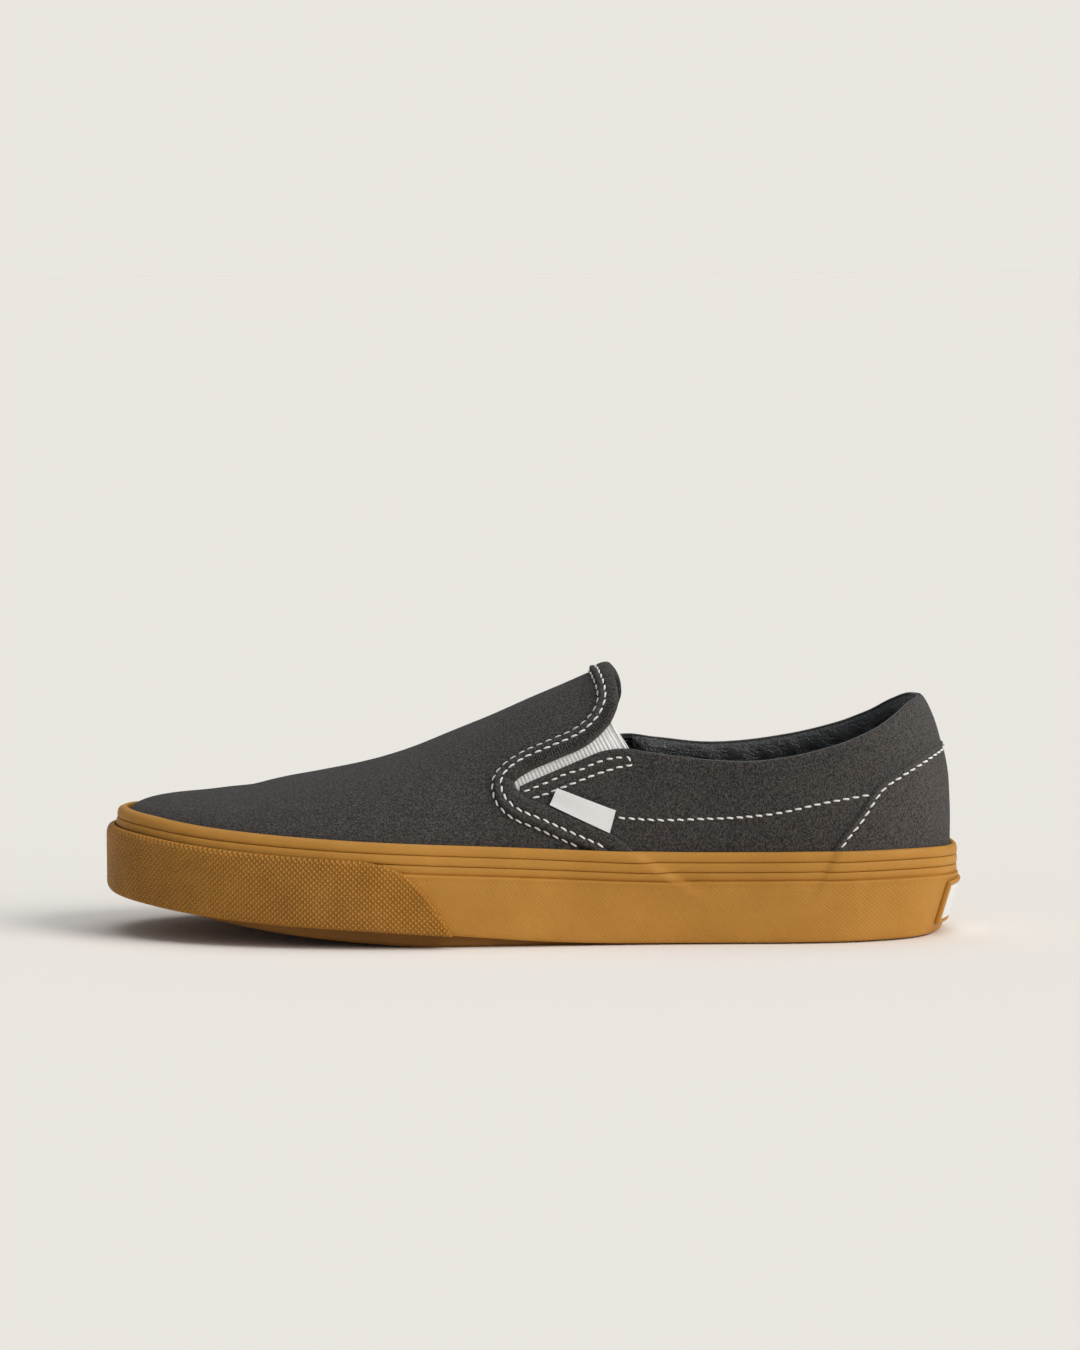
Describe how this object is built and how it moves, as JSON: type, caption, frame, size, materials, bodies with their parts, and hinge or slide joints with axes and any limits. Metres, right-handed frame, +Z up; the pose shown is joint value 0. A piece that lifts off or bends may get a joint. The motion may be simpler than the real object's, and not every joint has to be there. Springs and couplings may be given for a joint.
{
  "type": "slip-on sneaker",
  "caption": "Left low slip-on sneaker with a canvas upper, elastic side gores, a padded collar and a gum rubber foxing with a toe bumper and heel tab.",
  "frame": {"origin": "centre of the bounding box at floor level, the shoe standing on its tread", "axes": "+X from the toe to the heel, +Y to the inner (medial) side, +Z up"},
  "size_m": [0.2926, 0.1118, 0.0923],
  "materials": {
    "gum_rubber": "matte gum rubber with a fine woven grain",
    "canvas": "matte heavy canvas",
    "elastic": "ribbed off-white elastic",
    "lining_leather": "soft pebbled leather, dark",
    "insole_cloth": "plain dark cloth",
    "label_cloth": "plain pale woven tape"
  },
  "bodies": {
    "root": {"outsole": "gum_rubber", "foxing": "gum_rubber", "toe_bumper": "gum_rubber", "heel_tab": "gum_rubber", "heel_tab_insert": "label_cloth", "upper": "canvas", "vamp_edge_band": "canvas", "gore_lateral": "elastic", "gore_medial": "elastic", "heel_counter": "canvas", "collar_lining": "lining_leather", "side_label": "label_cloth", "insole": "insole_cloth"}
  },
  "joints": []
}
